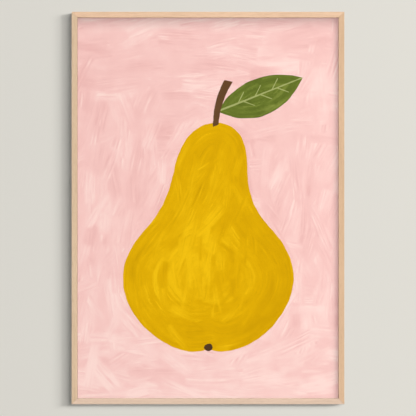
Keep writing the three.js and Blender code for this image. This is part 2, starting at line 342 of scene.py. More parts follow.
def make_lights(wall, floor):
    """Called when every piece exists. The wall, the floor and the object have lights of their own."""
    pieces = collect("lit_pieces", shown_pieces())
    wall = collect("lit_wall", [wall])
    floor = collect("lit_floor", [floor])
    wood = collect("lit_wood", [frame["nodes"][name] for name in RAILS + STILES])

    soft_light("floor_ceiling", floor, azimuth=0, elevation=80, spread=60, exposure=0.80, facing=UP)
    soft_light("stage_front", wall, azimuth=0, elevation=4, spread=10, exposure=0.25 * STAGE_EXPOSURE)
    soft_light("stage_window", wall, azimuth=30, elevation=15, spread=34, exposure=0.36 * STAGE_EXPOSURE)
    soft_light("stage_key", wall, azimuth=50, elevation=11, spread=8, exposure=0.20 * STAGE_EXPOSURE,
               distance=11)
    soft_light("stage_edge", wall, azimuth=61, elevation=12, spread=14, exposure=0.15 * STAGE_EXPOSURE,
               distance=11)

    front = soft_light("front", pieces, azimuth=0, elevation=0, spread=10, exposure=0.49 * EXPOSURE)
    window = soft_light("window", pieces, azimuth=36, elevation=2, spread=16, exposure=0.055 * EXPOSURE,
                        distance=2.5)
    for light in (front, window):
        light.visible_glossy = False  # no glare on the glazing
    soft_light("key", pieces, azimuth=56, elevation=16, spread=24, exposure=0.13 * EXPOSURE, distance=5)
    soft_light("ceiling", pieces, azimuth=6, elevation=52, spread=28, exposure=0.145 * EXPOSURE)
    soft_light("high_key", pieces, azimuth=36, elevation=64, spread=12, exposure=0.13 * EXPOSURE)
    soft_light("wood_low", wood, azimuth=-80, elevation=-47, spread=30, exposure=0.50 * EXPOSURE,
               facing=DOWN)
    soft_light("wood_side", wood, azimuth=84, elevation=-12, spread=30, exposure=0.32 * EXPOSURE,
               facing=RIGHT)
    soft_light("back_key", pieces, azimuth=140, elevation=35, spread=20, exposure=0.75, facing=BACK)
    soft_light("back_fill", pieces, azimuth=-150, elevation=10, spread=60, exposure=0.3, facing=BACK)


def make_room():
    """The pale room round the stage. It is seen, and adds hardly any light."""
    world = bpy.data.worlds.new("room")
    bpy.context.scene.world = world
    world.use_nodes = True
    tree = world.node_tree
    seen = add(tree, "ShaderNodeLightPath").outputs["Is Camera Ray"]
    strength = maths(tree, "MULTIPLY_ADD", seen, ROOM_SEEN, ROOM_LIGHT)
    background = tree.nodes["Background"]
    background.inputs["Color"].default_value = ROOM_COLOUR
    tree.links.new(strength, background.inputs["Strength"])


# ======================================================================================================
# The picture: outlines
# ======================================================================================================
# Places in the picture are from its middle, x to the right and z up, in metres.
OUTLINE_STEP = 0.003
VEIN_STEP = OUTLINE_STEP * 0.6
FEWEST_POINTS = 8
NECK_LEAN = 0.3  # how the pear leans to the right, above this height
LEAN_FROM = -0.05
NEAR_HANDLE, FAR_HANDLE = 0.28, 0.68  # where a leaf's side is pulled outwards, as shares of the midrib
HANDLE_REACH = 4 / 3  # a curve's handles stand this much further out than its middle

LEAF_BASE, LEAF_TIP = (0.026, 0.256), (0.250, 0.345)
LEAF_ANGLE = math.atan2(LEAF_TIP[1] - LEAF_BASE[1], LEAF_TIP[0] - LEAF_BASE[0])
SIDE_VEINS = ((0.24, 1), (0.30, -1), (0.44, 1), (0.50, -1), (0.64, 1), (0.70, -1))  # share of midrib, side
SIDE_VEIN_LENGTH = 0.034
SIDE_VEIN_TURN = math.radians(42)
FIRST_SIDE_SEED = 10
CALYX = (0.001, -0.369)
CALYX_RADIUS = 0.011
DOT_POINTS = 14
DOT_UNEVENNESS = 0.3  # as a share of its radius


def bezier(a, b, c, d, steps):
    """Points from a to d, without d."""
    t = np.linspace(0, 1, steps, endpoint=False)[:, None]
    a, b, c, d = (np.array(p, float) for p in (a, b, c, d))
    return (1 - t) ** 3 * a + 3 * (1 - t) ** 2 * t * b + 3 * (1 - t) * t**2 * c + t**3 * d


def evenly(points, step):
    """A closed outline's points, spaced evenly."""
    closed = np.vstack([points, points[:1]])
    along = np.concatenate([[0], np.cumsum(np.linalg.norm(np.diff(closed, axis=0), axis=1))])
    count = max(FEWEST_POINTS, round(along[-1] / step))
    places = np.linspace(0, along[-1], count, endpoint=False)
    return np.column_stack([np.interp(places, along, closed[:, k]) for k in (0, 1)])


def by_hand(points, amount, size, seed):
    """Moves an outline's points a little along its normals, as a brush does."""
    tangent = np.roll(points, -1, axis=0) - np.roll(points, 1, axis=0)
    normal = np.column_stack([tangent[:, 1], -tangent[:, 0]])
    normal /= np.linalg.norm(normal, axis=1)[:, None]
    shift = [noise.noise(Vector((x / size, z / size, seed))) for x, z in points]
    return points + normal * (amount * np.array(shift))[:, None]


def pear_outline():
    """A plain pear of textbook proportions: a narrow neck, a round belly and a shallow dip at its base."""
    top, neck, waist = (0, 0.225), (0.094, 0.115), (0.158, -0.045)
    widest, bottom = (0.226, -0.190), (0, -0.372)
    half = np.vstack([
        bezier(top, (0.056, 0.225), (0.088, 0.180), neck, steps=40),
        bezier(neck, (0.101, 0.045), (0.118, 0.000), waist, steps=40),
        bezier(waist, (0.202, -0.092), (0.226, -0.135), widest, steps=40),
        bezier(widest, (0.226, -0.310), (0.070, -0.412), bottom, steps=60),
    ])
    other = half[::-1] * (-1, 1)
    other = np.vstack([[bottom], other[:-1]])
    whole = np.vstack([half, other])
    whole[:, 0] += NECK_LEAN * np.maximum(whole[:, 1] - LEAN_FROM, 0) ** 2
    uneven = by_hand(evenly(whole, OUTLINE_STEP), amount=0.004, size=0.16, seed=1)
    return by_hand(uneven, amount=0.0012, size=0.02, seed=2)


def leaf_outline(base, tip, above, below, seed):
    """A lens from two curves. above and below are how far its sides stand out from the midrib."""
    base, tip = np.array(base), np.array(tip)
    along = tip - base
    side = np.array((-along[1], along[0])) / np.linalg.norm(along)
    near, far = base + NEAR_HANDLE * along, base + FAR_HANDLE * along
    upper = side * above * HANDLE_REACH
    lower = side * below * HANDLE_REACH
    first = bezier(base, near + upper, far + upper, tip, steps=50)
    second = bezier(tip, far - lower, near - lower, base, steps=50)
    return by_hand(evenly(np.vstack([first, second]), OUTLINE_STEP), amount=0.0016, size=0.03, seed=seed)


def vein_outline(start, end, start_width, end_width, seed):
    """A straight painted line with square ends."""
    start, end = np.array(start), np.array(end)
    along = (end - start) / np.linalg.norm(end - start)
    side = np.array((-along[1], along[0]))
    corners = np.array([
        start - side * start_width / 2, end - side * end_width / 2,
        end + side * end_width / 2, start + side * start_width / 2,
    ])
    return by_hand(evenly(corners, VEIN_STEP), amount=0.0005, size=0.012, seed=seed)


def stem_outline(seed):
    """A bent stem that is thicker at its cut end."""
    left = bezier((0.013, 0.215), (0.013, 0.262), (0.024, 0.306), (0.046, 0.344), steps=24)
    right = bezier((0.066, 0.334), (0.044, 0.300), (0.029, 0.260), (0.028, 0.215), steps=24)
    return by_hand(evenly(np.vstack([left, right]), OUTLINE_STEP), amount=0.001, size=0.012, seed=seed)


def dot_outline(centre, radius, seed):
    turn = np.linspace(0, 2 * math.pi, DOT_POINTS, endpoint=False)
    points = np.array(centre) + radius * np.column_stack([np.cos(turn), np.sin(turn)])
    return by_hand(points, amount=radius * DOT_UNEVENNESS, size=radius, seed=seed)


def picture_shapes():
    """Each shape as (paint, outline), from the lowest coat of paint to the highest."""
    shapes = [
        ("pear", pear_outline()),
        ("leaf", leaf_outline(LEAF_BASE, LEAF_TIP, above=0.043, below=0.056, seed=3)),
        ("vein", vein_outline(LEAF_BASE, LEAF_TIP, start_width=0.0050, end_width=0.0028, seed=5)),
        ("stem", stem_outline(seed=9)),
        ("calyx", dot_outline(CALYX, CALYX_RADIUS, seed=7)),
    ]
    base, tip = np.array(LEAF_BASE), np.array(LEAF_TIP)
    for share, side in SIDE_VEINS:
        start = base + share * (tip - base)
        turned = LEAF_ANGLE + side * SIDE_VEIN_TURN
        end = start + SIDE_VEIN_LENGTH * np.array((math.cos(turned), math.sin(turned)))
        vein = vein_outline(start, end, start_width=0.0030, end_width=0.0018, seed=FIRST_SIDE_SEED + share)
        shapes.append(("vein", vein))
    return shapes


def inside(points, outline):
    """Which points lie inside a closed outline."""
    result = np.zeros(len(points), bool)
    x, z = points[:, 0], points[:, 1]
    previous = outline[-1]
    for corner in outline:
        crosses = (corner[1] > z) != (previous[1] > z)
        if crosses.any():
            slope = (previous[0] - corner[0]) / (previous[1] - corner[1])
            result ^= crosses & (x < corner[0] + (z - corner[1]) * slope)
        previous = corner
    return result


def distance_to(points, outline):
    """The distance from each point to an outline."""
    best = np.full(len(points), np.inf)
    for a, b in zip(outline, np.roll(outline, -1, axis=0)):
        edge = b - a
        t = np.clip(((points - a) @ edge) / (edge @ edge), 0, 1)
        best = np.minimum(best, np.linalg.norm(points - (a + t[:, None] * edge), axis=1))
    return best


# ======================================================================================================
# The picture: brush strokes
# ======================================================================================================
SEED = 7
PLAIN_TONE = 0.5  # tones go from 0, the dark colour of a paint, to 1, the light one
START_CRISPNESS, FINISH_CRISPNESS, SIDE_CRISPNESS = 9, 2, 4  # the higher, the more sudden a stroke's edge
STROKE_REACH = 0.75  # as a share of its length, more than a stroke can cover from its middle
OWNED_FROM = 0.12  # how thickly a stroke has to cover a triangle to show its bristles there

# A stroke lies straight or bent, or follows an outline at a level, which is a depth inside it.
Stroke = namedtuple("Stroke", "middle angle length width tone opacity bend level", defaults=(0.0, None))
# How many strokes a brush makes, and the ranges of their sizes and opacity.
Brush = namedtuple("Brush", "strokes length width opacity")

GROUND_BRUSH = Brush(strokes=620, length=(0.07, 0.17), width=(0.022, 0.046), opacity=(0.35, 0.9))
OUTER_BRUSH = Brush(strokes=400, length=(0.08, 0.20), width=(0.012, 0.026), opacity=(0.4, 0.85))
SWIRL_BRUSH = Brush(strokes=100, length=(0.04, 0.11), width=(0.010, 0.024), opacity=(0.4, 0.85))
BELLY_BRUSH = Brush(strokes=50, length=(0.04, 0.11), width=(0.008, 0.020), opacity=(0.4, 0.85))
NECK_BRUSH = Brush(strokes=50, length=(0.06, 0.13), width=(0.012, 0.026), opacity=(0.4, 0.85))
LEAF_BRUSH = Brush(strokes=100, length=(0.05, 0.14), width=(0.006, 0.014), opacity=(0.4, 0.9))

# The ground's strokes
GROUND_SPREAD = 0.21  # of the tone
# The last of these is painted light: the ground is painted lighter towards the right, the side the light
# comes from.
LIGHTER_BELOW, LIGHTER_AT_ENDS, PAINTED_LIGHT_RIGHT = 0.30, 0.9, 0.10
UPRIGHT_AT_MIDDLE, MORE_AT_SIDES, FEWER_AT_ENDS = 0.5, 1.8, 2.6  # the share of upright strokes
UPRIGHT, LEVEL = math.radians(80), math.radians(4)
ANGLE_SPREAD = 0.2
BEND_SPREAD = 0.5
NEAR_PEAR = 0.045  # strokes closer than about this go round it
EDGE_POINTS = 3  # the outline's direction is taken over this many points to each side

# The pear's strokes
HIGHLIGHT, SHADE = (-0.075, -0.120), (0.150, -0.270)
PATCH_RADIUS = 0.11
LIGHT_AMOUNT, SHADE_AMOUNT = 0.30, 0.22
RIM_TONE, DEPTH_TONE = 0.34, 0.34  # at the outline, and added at the deepest place
BELLY = np.array((-0.010, -0.175))
SWIRL_INNER, SWIRL_SPREAD, SWIRL_TALLNESS = 0.03, 0.07, 1.25
SWIRL_BEND = 0.3  # divided by the distance from the belly's middle
SWIRL_ANGLE_SPREAD = 0.25
BELLY_ANGLE, NECK_ANGLE, STEEP_SPREAD = 86, 68, 13  # degrees
BELLY_SPREAD, NECK_MIDDLE, NECK_SPREAD = 0.055, 0.01, 0.035  # across
STEEP_HEIGHTS = (-0.07, 0.15)
BELLY_BEND_SPREAD = 1.0
NECK_BEND, NECK_BEND_SPREAD = 0.3, 0.6

# The leaf's strokes
LEAF_TONE, LEAF_SPREAD = 0.45, 0.25
LEAF_ANGLE_SPREAD = 0.10


class Coat:
    """One coat of brush strokes over one paint's triangles. Each triangle keeps its uppermost stroke."""

    def __init__(self, points, centres, outline=None):
        self.points, self.centres = points, centres
        self.points_depth = self.centres_depth = None
        if outline is not None:
            self.points_depth = distance_to(points, outline)
            self.centres_depth = distance_to(centres, outline)
        self.tone = np.full(len(points), PLAIN_TONE)
        self.owner = np.full(len(centres), -1)
        self.strokes = []

    def local(self, stroke, points, depths, chosen):
        """Along and across a stroke, in metres from its middle, for the chosen points."""
        offset = points[chosen] - stroke.middle
        c, s = math.cos(stroke.angle), math.sin(stroke.angle)
        along = offset[:, 0] * c + offset[:, 1] * s
        if stroke.level is None:
            across = offset[:, 1] * c - offset[:, 0] * s - stroke.bend * along * along
        else:
            across = depths[chosen] - stroke.level
        return along, across

    def cover(self, stroke, along, across):
        """How thickly a stroke covers, from 0 at its edges to 1."""
        reach = np.clip(np.abs(along) / (stroke.length / 2), 0, 1)
        end = 1 - reach ** np.where(along < 0, START_CRISPNESS, FINISH_CRISPNESS)
        side = 1 - np.clip(np.abs(across) / (stroke.width / 2), 0, 1) ** SIDE_CRISPNESS
        return end * side

    def within_reach(self, stroke, points):
        return np.abs(points - stroke.middle).max(axis=1) < stroke.length * STROKE_REACH

    def lay(self, stroke):
        near = self.within_reach(stroke, self.points)
        if not near.any():
            return
        along, across = self.local(stroke, self.points, self.points_depth, near)
        alpha = self.cover(stroke, along, across) * stroke.opacity
        self.tone[near] += (stroke.tone - self.tone[near]) * alpha
        near = self.within_reach(stroke, self.centres)
        along, across = self.local(stroke, self.centres, self.centres_depth, near)
        owned = np.flatnonzero(near)[self.cover(stroke, along, across) > OWNED_FROM]
        self.owner[owned] = len(self.strokes)
        self.strokes.append(stroke)

    def corner_values(self, triangles):
        """At each triangle's corners: (along, across, number) in its own stroke, and its strength."""
        place = np.zeros((len(triangles), 3, 3), np.float32)
        strength = np.zeros((len(triangles), 3), np.float32)
        for number, stroke in enumerate(self.strokes):
            mine = np.flatnonzero(self.owner == number)
            if not len(mine):
                continue
            corners = triangles[mine].ravel()
            along, across = self.local(stroke, self.points, self.points_depth, corners)
            place[mine, :, 0] = along.reshape(-1, 3)
            place[mine, :, 1] = across.reshape(-1, 3)
            place[mine, :, 2] = number
            strength[mine] = (self.cover(stroke, along, across) * stroke.opacity).reshape(-1, 3)
        return place, strength


def as_tone(value):
    return float(np.clip(value, 0, 1))


def lay_ground(coat, outline, rng):
    """Broad strokes: level above and below the pear, upright beside it, and round it where close."""
    size = np.ptp(coat.points, axis=0)
    brush = GROUND_BRUSH
    for _ in range(brush.strokes):
        rightwards, upwards = rng.uniform(-0.5, 0.5), rng.uniform(-0.5, 0.5)  # shares of the sheet
        start = np.array((rightwards, upwards)) * size
        upright = UPRIGHT_AT_MIDDLE + MORE_AT_SIDES * abs(rightwards) - FEWER_AT_ENDS * abs(upwards)
        apart = np.linalg.norm(outline - start, axis=1)
        nearest = int(np.argmin(apart))
        if rng.uniform() < math.exp(-apart[nearest] / NEAR_PEAR):
            edge = outline[(nearest + EDGE_POINTS) % len(outline)] - outline[nearest - EDGE_POINTS]
            along = math.atan2(edge[1], edge[0])
        elif rng.uniform() < upright:
            along = UPRIGHT
        else:
            along = LEVEL
        along += math.pi * rng.integers(2) + rng.normal(0, ANGLE_SPREAD)
        tone = rng.normal(PLAIN_TONE, GROUND_SPREAD) - LIGHTER_BELOW * upwards
        # Painted light: lighter towards the right, where the light comes from.
        tone += LIGHTER_AT_ENDS * upwards**2 + PAINTED_LIGHT_RIGHT * rightwards
        coat.lay(Stroke(
            middle=start, angle=along, length=rng.uniform(*brush.length), width=rng.uniform(*brush.width),
            bend=rng.normal(0, BEND_SPREAD), tone=as_tone(tone), opacity=rng.uniform(*brush.opacity)))


def pear_tone(rng, place, base, spread):
    """A stroke's tone on the pear: lighter at the belly's upper left, and darker at its lower right."""
    light = math.exp(-((np.linalg.norm(place - HIGHLIGHT) / PATCH_RADIUS) ** 2))
    shade = math.exp(-((np.linalg.norm(place - SHADE) / PATCH_RADIUS) ** 2))
    return as_tone(base + LIGHT_AMOUNT * light - SHADE_AMOUNT * shade + rng.normal(0, spread))


def lay_pear(coat, outline, rng):
    """Long strokes that follow the outline, swirling ones in the belly, and steep ones there and above."""
    deepest = coat.points_depth.max()
    brush = OUTER_BRUSH
    for _ in range(brush.strokes):
        index = rng.integers(len(coat.points))
        start = coat.points[index]
        level = coat.points_depth[index]
        nearest = outline[np.argmin(np.linalg.norm(outline - start, axis=1))]
        away = start - nearest
        along = math.atan2(away[1], away[0]) + math.pi / 2
        length = rng.uniform(*brush.length)
        tone = pear_tone(rng, start, RIM_TONE + DEPTH_TONE * (level / deepest), spread=0.17)
        coat.lay(Stroke(
            middle=start, angle=along, length=length, width=rng.uniform(*brush.width), level=level,
            tone=tone, opacity=rng.uniform(*brush.opacity)))
    brush = SWIRL_BRUSH
    for _ in range(brush.strokes):
        turn = rng.uniform(0, 2 * math.pi)
        radius = SWIRL_INNER + abs(rng.normal(0, SWIRL_SPREAD))
        start = BELLY + radius * np.array((math.cos(turn), SWIRL_TALLNESS * math.sin(turn)))
        coat.lay(Stroke(
            middle=start, angle=turn + math.pi / 2 + rng.normal(0, SWIRL_ANGLE_SPREAD),
            length=rng.uniform(*brush.length), width=rng.uniform(*brush.width), bend=SWIRL_BEND / radius,
            tone=pear_tone(rng, start, PLAIN_TONE, spread=0.20), opacity=rng.uniform(*brush.opacity)))
    brush = BELLY_BRUSH
    for _ in range(brush.strokes):
        start = BELLY + np.array((rng.normal(0, BELLY_SPREAD), rng.uniform(*STEEP_HEIGHTS)))
        coat.lay(Stroke(
            middle=start, angle=math.radians(rng.normal(BELLY_ANGLE, STEEP_SPREAD)),
            length=rng.uniform(*brush.length), width=rng.uniform(*brush.width),
            bend=rng.normal(0, BELLY_BEND_SPREAD),
            tone=pear_tone(rng, start, PLAIN_TONE, spread=0.20), opacity=rng.uniform(*brush.opacity)))
    brush = NECK_BRUSH
    for _ in range(brush.strokes):
        start = np.array((rng.normal(NECK_MIDDLE, NECK_SPREAD), rng.uniform(*STEEP_HEIGHTS)))
        coat.lay(Stroke(
            middle=start, angle=math.radians(rng.normal(NECK_ANGLE, STEEP_SPREAD)),
            length=rng.uniform(*brush.length), width=rng.uniform(*brush.width),
            bend=rng.normal(NECK_BEND, NECK_BEND_SPREAD),
            tone=pear_tone(rng, start, PLAIN_TONE, spread=0.19), opacity=rng.uniform(*brush.opacity)))


def lay_leaf(coat, rng):
    """Narrow strokes along the leaf, which follow its sides."""
    brush = LEAF_BRUSH
    for _ in range(brush.strokes):
        index = rng.integers(len(coat.points))
        coat.lay(Stroke(
            middle=coat.points[index], angle=LEAF_ANGLE + rng.normal(0, LEAF_ANGLE_SPREAD),
            length=rng.uniform(*brush.length), width=rng.uniform(*brush.width),
            level=coat.points_depth[index], tone=as_tone(rng.normal(LEAF_TONE, LEAF_SPREAD)),
            opacity=rng.uniform(*brush.opacity)))


# ======================================================================================================
# The picture: the printed sheet
# ======================================================================================================
GRID_STEP = 0.004
GRID_JITTER = 0.22  # as a share of the step
CLEAR_OF_OUTLINE = OUTLINE_STEP * 0.45  # grid points closer than this to an outline are left out
TINY = 1e-6
SAME_POINT = 1e-7
TRIANGLES_INSIDE = 0  # the kind of triangulation that covers the whole sheet


def sheet_grid(width, height, shapes, rng):
    """A slightly uneven grid over the sheet, without the points that lie close to an outline."""
    columns, rows = round(width / GRID_STEP), round(height / GRID_STEP)
    x, z = np.meshgrid(
        np.linspace(-width / 2, width / 2, columns + 1), np.linspace(-height / 2, height / 2, rows + 1))
    jitter = rng.uniform(-GRID_JITTER, GRID_JITTER, (2, *x.shape)) * GRID_STEP
    inner = (np.abs(x) < width / 2 - TINY) & (np.abs(z) < height / 2 - TINY)
    grid = np.column_stack([(x + jitter[0] * inner).ravel(), (z + jitter[1] * inner).ravel()])
    keep = np.ones(len(grid), bool)
    for _, outline in shapes:
        past_lowest = grid > outline.min(axis=0) - GRID_STEP
        before_highest = grid < outline.max(axis=0) + GRID_STEP
        near = np.flatnonzero((past_lowest & before_highest).all(axis=1))
        keep[near[distance_to(grid[near], outline) < CLEAR_OF_OUTLINE]] = False
    return grid[keep]


def cut_along(grid, shapes):
    """The sheet's points and triangles, whose edges run along every outline."""
    points = [Vector(point) for point in grid]
    edges = []
    for _, outline in shapes:
        first = len(points)
        count = len(outline)
        points += [Vector(point) for point in outline]
        edges += [(first + i, first + (i + 1) % count) for i in range(count)]
    found, _, triangles, *_ = delaunay_2d_cdt(points, edges, [], TRIANGLES_INSIDE, SAME_POINT)
    return np.array([tuple(point) for point in found]), np.array([tuple(corners) for corners in triangles])


def brushwork(points, triangles, centres, paint, shapes, rng):
    """At each triangle's corners: the tone, the place in its stroke, and that stroke's strength."""
    tone = np.full((len(triangles), 3), PLAIN_TONE, np.float32)
    place = np.zeros((len(triangles), 3, 3), np.float32)
    strength = np.zeros((len(triangles), 3), np.float32)
    outlines = dict(shapes)
    for name in ("ground", "pear", "leaf"):
        mine = np.flatnonzero(paint == PAINT_NAMES.index(name))
        used, renumbered = np.unique(triangles[mine], return_inverse=True)
        renumbered = renumbered.reshape(-1, 3)
        coat = Coat(points[used], centres[mine], outlines.get(name))
        if name == "ground":
            lay_ground(coat, outlines["pear"], rng)
        elif name == "pear":
            lay_pear(coat, outlines["pear"], rng)
        else:
            lay_leaf(coat, rng)
        tone[mine] = coat.tone[renumbered]
        place[mine], strength[mine] = coat.corner_values(renumbered)
    return tone, place, strength


def closed_sheet(points, triangles, low_print, high_print):
    """Vertices and faces: the front first, then walls back from its edge, and a plain back."""
    width, height = high_print.x - low_print.x, high_print.z - low_print.z
    centre_x, centre_z = (low_print.x + high_print.x) / 2, (low_print.z + high_print.z) / 2
    border = [
        i for i, (x, z) in enumerate(points) if abs(x) > width / 2 - TINY or abs(z) > height / 2 - TINY
    ]
    border.sort(key=lambda i: math.atan2(points[i][1] / height, points[i][0] / width))
    vertices = [(centre_x + x, low_print.y, centre_z + z) for x, z in points]
    back_of = {}
    for i in border:
        back_of[i] = len(vertices)
        vertices.append((centre_x + points[i][0], high_print.y, centre_z + points[i][1]))
    faces = [tuple(int(i) for i in corners) for corners in triangles]
    for i, j in zip(border, border[1:] + border[:1]):
        faces.append((i, back_of[i], back_of[j], j))
    faces.append(tuple(back_of[i] for i in border)[::-1])
    return vertices, faces


def keep_at_corners(mesh, name, kind, field, values):
    """Stores the front's values at its faces' corners. The other faces come after it and get zeros."""
    filled = np.zeros((len(mesh.loops), *values.shape[1:]), np.float32)
    filled[: len(values)] = values
    mesh.attributes.new(name, kind, "CORNER").data.foreach_set(field, filled.ravel())


def make_picture():
    """The print: a closed sheet whose front is cut along the painted shapes and keeps its strokes."""
    low_print, high_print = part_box("art_print")
    rng = np.random.default_rng(SEED)
    shapes = picture_shapes()
    grid = sheet_grid(high_print.x - low_print.x, high_print.z - low_print.z, shapes, rng)
    points, triangles = cut_along(grid, shapes)
    centres = points[triangles].mean(axis=1)
    paint = np.full(len(triangles), PAINT_NAMES.index("ground"))
    for name, outline in shapes:
        paint[inside(centres, outline)] = PAINT_NAMES.index(name)
    tone, place, strength = brushwork(points, triangles, centres, paint, shapes, rng)

    vertices, faces = closed_sheet(points, triangles, low_print, high_print)
    mesh = bpy.data.meshes.new("painted_print")
    mesh.from_pydata(vertices, [], faces)
    for look in PAINTS.values():
        mesh.materials.append(paint_material(*look))
    mesh.materials.append(paper_material())
    material_of = np.full(len(faces), len(PAINTS), np.int32)
    material_of[: len(triangles)] = paint
    mesh.polygons.foreach_set("material_index", material_of)
    keep_at_corners(mesh, "tone", "FLOAT", "value", tone.ravel())
    keep_at_corners(mesh, "stroke_strength", "FLOAT", "value", strength.ravel())
    keep_at_corners(mesh, "stroke_place", "FLOAT_VECTOR", "vector", place.reshape(-1, 3))

    piece = bpy.data.objects.new("painted_print", mesh)
    bpy.context.scene.collection.objects.link(piece)
    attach(piece, FRAME_BODY)
    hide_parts("art_print")


# ======================================================================================================
# The picture: paints
# ======================================================================================================
# How fine a stroke's pattern is along it, across it, and from stroke to stroke
BRISTLE_SCALE = (11, 175, 5.3)
GAP_SCALE = (12, 45, 3.7)
NOISE_MIDDLE = 0.5
LINE_CONTRAST = 2.0
STREAK_GAIN = 2  # noise less its middle spans only half the range of tones
PATCHES = 0.25 * STREAK_GAIN
RAMP_ENDS = (0.05, 0.95)
RAMP_MIDDLE = 0.5


def paint_material(name, dark, between, light, streak):
    """Brushed paint: a tone per stroke, bristle lines along it, and thin and thick patches."""
    material, tree, shader = new_material(name)
    tone = attribute(tree, "tone").outputs["Fac"]
    strength = attribute(tree, "stroke_strength").outputs["Fac"]
    place = attribute(tree, "stroke_place").outputs["Vector"]
    bristles = stretched(tree, place, BRISTLE_SCALE)
    bristles = noise_value(tree, bristles, scale=1.0, detail=3, roughness=0.65)
    gaps = noise_value(tree, stretched(tree, place, GAP_SCALE), scale=1.0, detail=2)
    thin = noise_value(tree, object_place(tree), scale=26, detail=4, roughness=0.65)

    lines = maths(tree, "SUBTRACT", bristles, NOISE_MIDDLE)
    lines = maths(tree, "MULTIPLY", lines, ramp(tree, gaps, between=(0.35, 0.65), gives=(0.5, 1.6)))
    dry = ramp(tree, gaps, between=(0.5, 0.66), gives=(0.0, 0.24))
    dry = maths(tree, "MULTIPLY", ramp(tree, bristles, between=(0.53, 0.62)), dry)
    lines = maths(tree, "MULTIPLY", maths(tree, "MULTIPLY_ADD", lines, LINE_CONTRAST, dry), strength)
    patches = maths(tree, "SUBTRACT", thin, NOISE_MIDDLE)
    value = maths(tree, "ADD", tone, maths(tree, "MULTIPLY", lines, streak * STREAK_GAIN))
    value = maths(tree, "ADD", value, maths(tree, "MULTIPLY", patches, PATCHES), clamp=True)

    colours = add(tree, "ShaderNodeValToRGB", {"Fac": value})
    stops = colours.color_ramp.elements
    for stop, position, colour in zip(stops, RAMP_ENDS, (dark, light)):
        stop.position = position
        stop.color = srgb(colour, PICTURE_EXPOSURE)
    stops.new(RAMP_MIDDLE).color = srgb(between, PICTURE_EXPOSURE)
    colour_with(tree, shader, colours.outputs["Color"])
    shader.inputs["Roughness"].default_value = 0.85
    shader.inputs["Specular IOR Level"].default_value = 0.05
    fibre = noise_value(tree, object_place(tree), scale=1800)
    bump(tree, shader, fibre, distance=0.00003, strength=0.3)
    return material


def paper_material():
    """Bare paper, for the print's back and edges."""
    material, tree, shader = new_material("print_paper")
    fibre = noise_value(tree, object_place(tree), scale=900, detail=4)
    colour_with(tree, shader, mix_colour(tree, fibre, *(srgb(colour) for colour in PAPER_COLOURS)))
    shader.inputs["Roughness"].default_value = 0.9
    bump(tree, shader, fibre, distance=0.00003, strength=0.3)
    return material


# ======================================================================================================
# CAD nodes' materials
# ======================================================================================================
GRAIN_OFFSET = 0.37  # from one moulding's grain to the next one's
GRAIN_OFFSET_SHARES = (1.0, 0.7, 1.3)
EVENED_BY_FINE, EVENED_ANYWAY = 0.5, 0.15  # how far the bands fade into the mean colour
CLOUD_STRENGTH, PORE_STRENGTH = 0.35, 0.35
FINE_HEIGHT = 0.4  # of the fine grain, against the depth of a pore
SPECKLE_HEIGHT = 0.5  # of the hardboard's speckle, against its screen pattern


def grain_scale(axis, along, across=1.0):
    """A scale that stretches a pattern along one axis."""
    scale = [across] * 3
    scale[axis] = along
    return scale


def ash_material(name, mean, axis, offset):
    """Pale ash under satin varnish, its grain along the given axis."""
    material, tree, shader = new_material(name)
    place = object_place(tree)
    grain_place = stretched(tree, place, grain_scale(axis, along=0.035), offset)
    pore_place = stretched(tree, place, grain_scale(axis, along=0.02), offset)
    cloud_place = stretched(tree, place, grain_scale(axis, along=0.12, across=0.6), offset)
    bands = noise_value(tree, grain_place, scale=190, detail=3, roughness=0.55, distortion=0.25)
    fine = noise_value(tree, grain_place, scale=900, detail=2, roughness=0.6)
    pores = noise_value(tree, pore_place, scale=2600, detail=1)
    pores = ramp(tree, pores, between=(0.30, 0.42), gives=(1.0, 0.0))
    clouds = ramp(tree, noise_value(tree, cloud_place, scale=40), between=(0.3, 0.7))

    light = srgb([value + ASH_LIGHTER for value in mean], WOOD_EXPOSURE)
    dark = srgb([value - ASH_DARKER for value in mean], WOOD_EXPOSURE)
    colour = mix_colour(tree, ramp(tree, bands, between=(0.32, 0.68)), dark, light)
    evened = maths(tree, "MULTIPLY_ADD", fine, EVENED_BY_FINE, EVENED_ANYWAY, clamp=True)
    colour = mix_colour(tree, evened, colour, srgb(mean, WOOD_EXPOSURE))
    clouds = maths(tree, "MULTIPLY", clouds, CLOUD_STRENGTH)
    colour = mix_colour(tree, clouds, colour, light)
    pore_colour = srgb(ASH_PORE, WOOD_EXPOSURE)
    colour = mix_colour(tree, maths(tree, "MULTIPLY", pores, PORE_STRENGTH), colour, pore_colour)
    colour_with(tree, shader, colour)
    roughness = ramp(tree, fine, between=(0.2, 0.8), gives=(0.42, 0.56))
    tree.links.new(roughness, shader.inputs["Roughness"])
    shader.inputs["Specular IOR Level"].default_value = 0.35
    height = maths(tree, "SUBTRACT", maths(tree, "MULTIPLY", fine, FINE_HEIGHT), pores)
    bump(tree, shader, height, distance=0.00005, strength=0.35)
    return material


def glazing_material():
    """Thin clear sheet with an anti-reflective finish: nearly all goes through, and little shines off."""
    material, tree, shader = new_material("clear_acrylic")
    tree.nodes.remove(shader)
    clear = add(tree, "ShaderNodeBsdfTransparent", {"Color": (0.995, 0.998, 0.997, 1)})
    gloss = add(tree, "ShaderNodeBsdfGlossy", {"Roughness": 0.03, "Color": (1, 1, 1, 1)})
    outside = maths(tree, "SUBTRACT", 1.0, add(tree, "ShaderNodeNewGeometry").outputs["Backfacing"])
    share = maths(tree, "MULTIPLY", add(tree, "ShaderNodeFresnel", {"IOR": 1.12}).outputs[0], outside)
    both = add(tree, "ShaderNodeMixShader", {0: share, 1: clear.outputs[0], 2: gloss.outputs[0]})
    tree.links.new(both.outputs[0], tree.nodes["Material Output"].inputs["Surface"])
    return material


